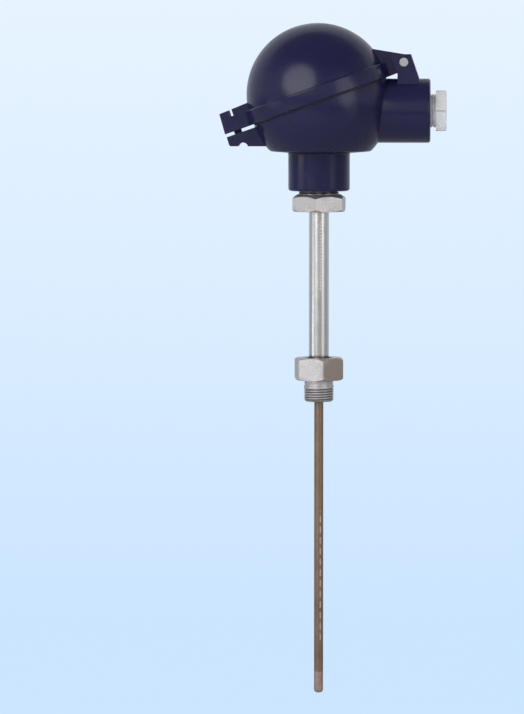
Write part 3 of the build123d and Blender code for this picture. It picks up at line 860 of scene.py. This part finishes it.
@finish("Nickel plate", Metallic=0.35)
def nickel_plate(made):
    """Bright nickel on brass, with painted dark shade lines along the corners of the gland's hexagon."""
    nickel = made.colours.nickel
    low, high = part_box("cable_gland_screw")
    _, y, z = made.split(made.place)
    radius = made.length(y, made.math("SUBTRACT", z, (low[2] + high[2]) / 2))
    corner = high[1]
    # painted shade lines at the radius of the hexagon's corners
    corner_shade = made.times(
        made.between(radius, corner - 0.22 * MM, corner - 0.10 * MM, 0.0, 0.7),
        made.between(radius, corner + 0.40 * MM, corner + 0.20 * MM),
    )
    smear = made.handling(6.0 * MM)
    skin = made.blend(made.times(smear, 0.6), nickel, dimmed(nickel, 0.82))
    made.feed(
        made.bsdf,
        Base_Color=made.blend(corner_shade, skin, PAINTED_CORNER_SHADE),
        Roughness=made.ranged(smear, 0.22, 0.34),
        Normal=made.bump(made.grain(0.5 * MM, 0.6)[0], 0.008 * MM),
    )


@finish("Zinc plate", Metallic=1.0)
def zinc_plate(made):
    """Plated small screws and washers."""
    zinc = made.colours.zinc
    made.grained(
        size=0.3 * MM,
        detail=0.6,
        colours=(zinc, tinted(zinc, (0.92, 0.88, 0.74))),
        roughness=(0.26, 0.38),
        depth=0.006 * MM,
        by=made.handling(3.0 * MM),
    )


@finish("Blackened steel", Metallic=0.8)
def blackened_steel(made):
    """Blackened closing screw."""
    made.grained(
        size=0.3 * MM,
        detail=0.6,
        colours=((0.040, 0.038, 0.042), (0.075, 0.068, 0.062)),
        roughness=(0.30, 0.44),
        depth=0.008 * MM,
        by=made.handling(3.0 * MM),
    )


@finish("Bright pin", Metallic=1.0)
def bright_pin(made):
    """Ground steel of the hinge pin."""
    made.grained(
        size=0.4 * MM,
        detail=0.6,
        colours=((0.66, 0.66, 0.68), (0.50, 0.50, 0.53)),
        roughness=(0.18, 0.28),
        depth=0.010 * MM,
    )


@finish("Annealed sheath", Metallic=0.85)
def annealed_sheath(made):
    """Sheath browned by annealing, with a plain row of pale dashes."""
    sheath = made.colours.sheath
    speck_height, speck = made.grain(0.45 * MM, 0.7)
    clouds = made.math("MULTIPLY_ADD", made.handling(30.0 * MM), 0.6, made.times(speck, 0.3))
    dashes = made.mark_row(
        SHEATH_RADIUS, DASHES_ROUND_TO, DASHES_LOW, DASHES_HIGH, made.sizes.dash_pitch, DASH_HALF_LENGTH
    )
    skin = made.blend(clouds, sheath, dimmed(sheath, 0.66))
    made.feed(
        made.bsdf,
        Base_Color=made.blend(made.times(dashes, 0.65), skin, DASH_PALE),
        Roughness=made.ranged(speck, 0.34, 0.46),
        Normal=made.bump(speck_height, 0.008 * MM),
    )


@finish("Welded tip", Metallic=0.9)
def welded_tip(made):
    """The sheath's brushed and welded end."""
    tip = made.colours.tip
    ring_height, rings = made.tool_marks(0.12 * MM)
    made.feed(
        made.bsdf,
        Base_Color=made.blend(made.handling(4.0 * MM), tip, tinted(tip, (0.85, 0.72, 0.62))),
        Roughness=made.ranged(rings, 0.32, 0.44),
        Normal=made.bump(ring_height, 0.008 * MM),
    )


@finish("Black rubber")
def black_rubber(made):
    """Gasket and seal."""
    made.grained(
        size=0.4 * MM,
        detail=0.7,
        colours=((0.016, 0.016, 0.030), (0.026, 0.026, 0.042)),
        roughness=(0.55, 0.67),
        depth=0.020 * MM,
    )


@finish("Glazed ceramic", Coat_Weight=0.5, Coat_Roughness=0.12)
def glazed_ceramic(made):
    """Ivory ceramic of the terminal base and the measuring resistor."""
    ceramic = made.colours.ceramic
    speck = made.grain(0.25 * MM, 0.8)[1]
    wave = made.grain(4.0 * MM, 0.4)[0]
    made.feed(
        made.bsdf,
        Base_Color=made.blend(made.times(speck, 0.35), ceramic, tinted(ceramic, (0.86, 0.82, 0.74))),
        Roughness=made.ranged(speck, 0.32, 0.42),
        Normal=made.bump(wave, 0.08 * MM),
    )


@finish("Terminal brass", Metallic=1.0)
def terminal_brass(made):
    """Brass terminals."""
    brass = made.colours.brass
    made.grained(
        size=0.3 * MM,
        detail=0.6,
        colours=(brass, tinted(brass, (0.80, 0.72, 0.60))),
        roughness=(0.24, 0.36),
        depth=0.008 * MM,
        by=made.handling(4.0 * MM),
    )


@finish("Spring wire", Metallic=1.0)
def spring_steel(made):
    """Hard drawn spring wire."""
    made.grained(
        size=0.25 * MM,
        detail=0.6,
        colours=((0.55, 0.54, 0.53), (0.40, 0.39, 0.38)),
        roughness=(0.24, 0.36),
        depth=0.006 * MM,
    )


@finish("Lead sleeve", Roughness=0.6)
def lead_sleeve(made):
    """Woven glass sleeve of the four leads, one pair white and one pair red."""
    side = made.between(made.split(made.place)["X"], -0.1 * MM, 0.1 * MM)
    weave_height, weave = made.grain(0.22 * MM, 0.8)
    tint = made.blend(side, (0.45, 0.035, 0.025), (0.72, 0.70, 0.66))
    made.feed(
        made.bsdf,
        Base_Color=made.blend(made.times(weave, 0.35), tint, WEAVE_SHADOW),
        Normal=made.bump(weave_height, 0.03 * MM),
    )


@finish("End resin")
def end_resin(made):
    """Cast resin that closes the sheath's upper end."""
    made.grained(
        size=0.8 * MM,
        detail=0.5,
        colours=((0.10, 0.035, 0.018), (0.14, 0.05, 0.026)),
        roughness=(0.25, 0.35),
        depth=0.030 * MM,
    )


@finish("Oxide powder")
def oxide_powder(made):
    """Pressed white oxide in the sheath."""
    made.grained(
        size=0.2 * MM,
        detail=0.8,
        colours=((0.76, 0.75, 0.73), (0.66, 0.65, 0.62)),
        roughness=(0.85, 0.95),
        depth=0.030 * MM,
    )


# Operators, one for each piece or group of like pieces


class THERMOMETER_OT_castings(bpy.types.Operator):
    """Lacquer the head's bowl and its lid"""

    bl_idname = "thermometer.castings"
    bl_label = "Cast head"

    def execute(self, context):
        for node, name in (("head_body", "lacquered_bowl"), ("head_lid", "lacquered_lid")):
            hand_over(take_over(node, name), node, lacquer())
        return {"FINISHED"}


class THERMOMETER_OT_process_fitting(bpy.types.Operator):
    """Cut the process thread and finish the screwed fitting"""

    bl_idname = "thermometer.process_fitting"
    bl_label = "Process fitting"

    def execute(self, context):
        sizes = context.scene.thermometer_sizes
        piece = take_over("process_fitting", "threaded_fitting")
        cut_thread(piece, (0, 0, 0), (0, 0, -1), sizes.process_thread, sizes.pitch)
        hand_over(piece, "process_fitting", turned_steel())
        return {"FINISHED"}


class THERMOMETER_OT_neck(bpy.types.Operator):
    """Finish the neck tube and the hexagon nipple above it"""

    bl_idname = "thermometer.neck"
    bl_label = "Neck tube and nipple"

    def execute(self, context):
        hand_over(take_over("extension_tube", "neck_tube"), "extension_tube", drawn_tube())
        sizes = context.scene.thermometer_sizes
        nipple = take_over("neck_nipple", "hexagon_nipple")
        cut_thread(nipple, (0, 0, 0), (0, 0, 1), sizes.neck_thread, sizes.pitch)
        hand_over(nipple, "neck_nipple", turned_steel())
        return {"FINISHED"}


class THERMOMETER_OT_sheath(bpy.types.Operator):
    """Finish the browned sheath and its welded tip"""

    bl_idname = "thermometer.sheath"
    bl_label = "Sheath and tip"

    def execute(self, context):
        hand_over(take_over("probe_sheath", "browned_sheath"), "probe_sheath", annealed_sheath())
        hand_over(take_over("sheath_tip", "welded_end"), "sheath_tip", welded_tip())
        return {"FINISHED"}


class THERMOMETER_OT_gland(bpy.types.Operator):
    """Finish the cable entry's hollow screw, its washers and its seal"""

    bl_idname = "thermometer.gland"
    bl_label = "Cable gland"

    def execute(self, context):
        sizes = context.scene.thermometer_sizes
        screw = take_over("cable_gland_screw", "hollow_gland_screw")
        low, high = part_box("cable_gland_screw")
        axis_at = (high[0], (low[1] + high[1]) / 2, (low[2] + high[2]) / 2)
        cut_thread(screw, axis_at, (-1, 0, 0), sizes.gland_thread, sizes.pitch)
        hand_over(screw, "cable_gland_screw", nickel_plate())
        dress(nickel_plate(), "gland_washer_inner", "gland_washer_outer")
        dress(black_rubber(), "gland_seal")
        return {"FINISHED"}


class THERMOMETER_OT_lid_hardware(bpy.types.Operator):
    """Finish the hinge pin, the closing screw with its washer and the gasket"""

    bl_idname = "thermometer.lid_hardware"
    bl_label = "Hinge pin, closing screw and gasket"

    def execute(self, context):
        sizes = context.scene.thermometer_sizes
        turn = joint("closing_screw_turn")
        screw = take_over("closing_screw", "captive_closing_screw")
        down = -Vector(turn["axis"])
        cut_thread(screw, turn["pos_m"], down, sizes.closing_thread, sizes.closing_pitch, steps=32)
        hand_over(screw, "closing_screw", blackened_steel())
        dress(zinc_plate(), "closing_screw_washer")
        dress(bright_pin(), "hinge_pin")
        dress(black_rubber(), "lid_gasket")
        return {"FINISHED"}


class THERMOMETER_OT_insert(bpy.types.Operator):
    """Finish the measuring insert's plate, terminals, screws and leads"""

    bl_idname = "thermometer.insert"
    bl_label = "Measuring insert"

    def execute(self, context):
        dress(turned_steel(), "insert_plate", "insert_collar")
        dress(glazed_ceramic(), "terminal_block")
        dress(terminal_brass(), "terminal_posts")
        dress(end_resin(), "potting_plug")
        dress(lead_sleeve(), "insert_wires")
        dress(zinc_plate(), "insert_screws", "terminal_screws")
        return {"FINISHED"}


class THERMOMETER_OT_springs(bpy.types.Operator):
    """Wind the two springs under the insert's screws from round wire"""

    bl_idname = "thermometer.springs"
    bl_label = "Insert springs"

    def execute(self, context):
        sizes = context.scene.thermometer_sizes
        wire, turns = sizes.spring_wire, sizes.spring_turns
        low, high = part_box("insert_springs")
        outer = (high[0] - low[0]) / 2
        foot = low[2] + SPRING_SEAT_GAP
        rise = high[2] - foot - wire
        bpy.ops.object.select_all(action="DESELECT")
        bpy.ops.mesh.primitive_circle_add(
            vertices=WIRE_SIDES,
            radius=wire / 2,
            location=(outer - wire / 2, 0, foot + wire / 2),
            rotation=(math.pi / 2, 0, 0),
        )
        coil = settle(bpy.context.object, "wound_springs")
        wind(coil, rise / turns, turns, COIL_STEPS)
        self.close_coils(coil, rise, wire, turns)
        close_ends(coil)
        side = high[1] - outer
        coil.location = (0, side, 0)
        settle(coil, "wound_springs")
        bpy.ops.object.duplicate()
        bpy.context.object.location = (0, -2 * side, 0)
        coil.select_set(True)
        context.view_layer.objects.active = coil
        bpy.ops.object.join()
        smooth(coil)
        hand_over(coil, "insert_springs", spring_steel())
        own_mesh(coil)
        return {"FINISHED"}

    def close_coils(self, coil, rise, wire, turns):
        """Lays the first and the last turn of an even helix against their neighbours."""
        closed = CLOSED_COIL * wire
        active = (rise - 2 * closed) / (turns - 2)
        for vertex in coil.data.vertices:
            turned = (vertex.index // WIRE_SIDES) / COIL_STEPS
            if turned < 1:
                lift = closed * turned
            elif turned > turns - 1:
                lift = rise - closed * (turns - turned)
            else:
                lift = closed + active * (turned - 1)
            vertex.co.z += lift - rise * turned / turns


class THERMOMETER_OT_earth(bpy.types.Operator):
    """Finish the earth terminal in the bowl"""

    bl_idname = "thermometer.earth"
    bl_label = "Earth terminal"

    def execute(self, context):
        dress(zinc_plate(), "earth_clamp", "earth_screw")
        return {"FINISHED"}


class THERMOMETER_OT_sensing(bpy.types.Operator):
    """Finish what lies inside the sheath: resistor, conductors and powder"""

    bl_idname = "thermometer.sensing"
    bl_label = "Measuring resistor"

    def execute(self, context):
        dress(glazed_ceramic(), "rtd_element")
        dress(oxide_powder(), "mineral_core")
        dress(nickel_plate(), "inner_conductors")
        return {"FINISHED"}


class THERMOMETER_OT_studio(bpy.types.Operator):
    """Set up the pale backdrop, the soft lights and the camera"""

    bl_idname = "thermometer.studio"
    bl_label = "Studio"

    def execute(self, context):
        studio = context.scene.thermometer_studio
        self.backdrop(studio)
        self.lights(context, studio)
        self.room(context, studio)
        self.camera(context, studio)
        return {"FINISHED"}

    def backdrop(self, studio):
        """A paper sweep: a floor that curves up into a wall."""
        floor_z = CAD_BOX[0][2] - FLOOR_DROP
        bpy.ops.object.select_all(action="DESELECT")
        bpy.ops.mesh.primitive_plane_add(size=1.0, location=(0, 0, 0))
        paper = bpy.context.object
        sides = (-PAPER_HALF_WIDTH, PAPER_HALF_WIDTH)
        places = [(x, y, floor_z) for y in (PAPER_FRONT, PAPER_BACK) for x in sides]
        for vertex, place in zip(paper.data.vertices, places):
            vertex.co = place
        select_only(paper)
        bpy.ops.object.mode_set(mode="EDIT")
        bpy.ops.mesh.select_all(action="DESELECT")
        bpy.ops.mesh.select_mode(type="EDGE")
        bpy.ops.object.mode_set(mode="OBJECT")
        for edge in paper.data.edges:
            edge.select = all(paper.data.vertices[i].co.y > PAPER_BACK - MM for i in edge.vertices)
        bpy.ops.object.mode_set(mode="EDIT")
        bend_at = (0, PAPER_BACK, floor_z + PAPER_BEND)
        bpy.ops.mesh.spin(steps=BEND_STEPS, angle=-math.pi / 2, center=bend_at, axis=(1, 0, 0))
        bpy.ops.mesh.extrude_region_move(TRANSFORM_OT_translate={"value": (0, 0, PAPER_TOP)})
        bpy.ops.object.mode_set(mode="OBJECT")
        smooth(paper)
        settle(paper, "paper_sweep")
        paper.data.materials.append(self.paper(studio))

    def paper(self, studio):
        """Paper that glows in its own colour to the camera, paler as it runs back and up the wall.

        To other rays it is grey, and only its far end glows, so that it lights the object faintly.
        """
        made = Finish("Backdrop paper", Roughness=0.9, Specular_IOR_Level=0.0)
        _, y, z = made.split(made.place)
        far = made.between(made.math("MULTIPLY_ADD", z, 5.0, y), -0.5, 6.0, smooth=False)
        seen = made.node("ShaderNodeLightPath").outputs["Is Camera Ray"]
        made.feed(
            made.bsdf,
            Base_Color=made.blend(seen, (0.68, 0.68, 0.69), (0.03, 0.03, 0.03)),
            Emission_Color=made.blend(far, studio.paper_low, studio.paper_high),
            Emission_Strength=made.math("MAXIMUM", seen, made.between(y, 0.5, PAPER_BACK, 0.0, 0.36)),
        )
        return made.material

    def lights(self, context, studio):
        for name, place, aim, size, power, share, shape in SOFT_LIGHTS:
            light = bpy.data.lights.new(name, "AREA")
            light.shape = shape
            light.size, light.size_y = size
            light.energy = share * getattr(studio, power)
            lamp = bpy.data.objects.new(name, light)
            context.scene.collection.objects.link(lamp)
            lamp.location = place
            lamp.rotation_euler = (Vector(aim) - Vector(place)).to_track_quat("-Z", "Y").to_euler()
            lamp.visible_camera = False

    def room(self, context, studio):
        """A grey room, darker overhead, that the camera sees as the far paper."""
        world = bpy.data.worlds.new("Studio room")
        world.use_nodes = True
        shade = Shade(world.node_tree)
        seen = shade.node("ShaderNodeLightPath").outputs["Is Camera Ray"]
        height = shade.split(shade.node("ShaderNodeTexCoord").outputs["Generated"])["Z"]
        overhead = shade.between(height, 0.1, 0.8)
        grey = shade.blend(overhead, (studio.room,) * 3, (0.3 * studio.room,) * 3)
        shade.feed(world.node_tree.nodes["Background"], Color=shade.blend(seen, grey, studio.paper_high))
        context.scene.world = world
        context.scene.view_settings.view_transform = "Standard"

    def camera(self, context, studio):
        aim = Vector(studio.aim)
        flat = math.cos(studio.elevation)
        right, back = math.sin(studio.azimuth) * flat, -math.cos(studio.azimuth) * flat
        away = Vector((right, back, math.sin(studio.elevation)))
        lens = bpy.data.cameras.new("Camera")
        lens.sensor_fit = "VERTICAL"
        lens.sensor_height = SENSOR_HEIGHT
        lens.lens = SENSOR_HEIGHT * studio.distance / studio.view_height
        lens.dof.use_dof = False
        camera = bpy.data.objects.new("Camera", lens)
        context.scene.collection.objects.link(camera)
        camera.location = aim + away * studio.distance
        camera.rotation_euler = (-away).to_track_quat("-Z", "Y").to_euler()
        context.scene.camera = camera


OPERATORS = (
    THERMOMETER_OT_studio,
    THERMOMETER_OT_castings,
    THERMOMETER_OT_process_fitting,
    THERMOMETER_OT_neck,
    THERMOMETER_OT_sheath,
    THERMOMETER_OT_gland,
    THERMOMETER_OT_lid_hardware,
    THERMOMETER_OT_insert,
    THERMOMETER_OT_springs,
    THERMOMETER_OT_earth,
    THERMOMETER_OT_sensing,
)


class THERMOMETER_PT_panel(bpy.types.Panel):
    """Lists the thermometer's pieces, sizes and finishes"""

    bl_idname = "THERMOMETER_PT_panel"
    bl_label = "Thermometer"
    bl_space_type = "VIEW_3D"
    bl_region_type = "UI"
    bl_category = "Thermometer"

    def draw(self, context):
        for operator in OPERATORS:
            self.layout.operator(operator.bl_idname)
        scene = context.scene
        for group in (scene.thermometer_sizes, scene.thermometer_finish, scene.thermometer_studio):
            box = self.layout.box()
            for key in group.bl_rna.properties.keys():
                if key not in ("rna_type", "name"):
                    box.prop(group, key)


GROUPS = (
    ("thermometer_sizes", ThermometerSizes),
    ("thermometer_finish", ThermometerFinish),
    ("thermometer_studio", ThermometerStudio),
)


def register():
    for key, group in GROUPS:
        bpy.utils.register_class(group)
        setattr(bpy.types.Scene, key, PointerProperty(type=group))
    for entry in (*OPERATORS, THERMOMETER_PT_panel):
        bpy.utils.register_class(entry)


def unregister():
    for entry in reversed((*OPERATORS, THERMOMETER_PT_panel)):
        bpy.utils.unregister_class(entry)
    for key, group in reversed(GROUPS):
        delattr(bpy.types.Scene, key)
        bpy.utils.unregister_class(group)


def main():
    register()
    for operator in OPERATORS:
        family, action = operator.bl_idname.split(".")
        getattr(getattr(bpy.ops, family), action)()


if __name__ == "__main__":
    main()
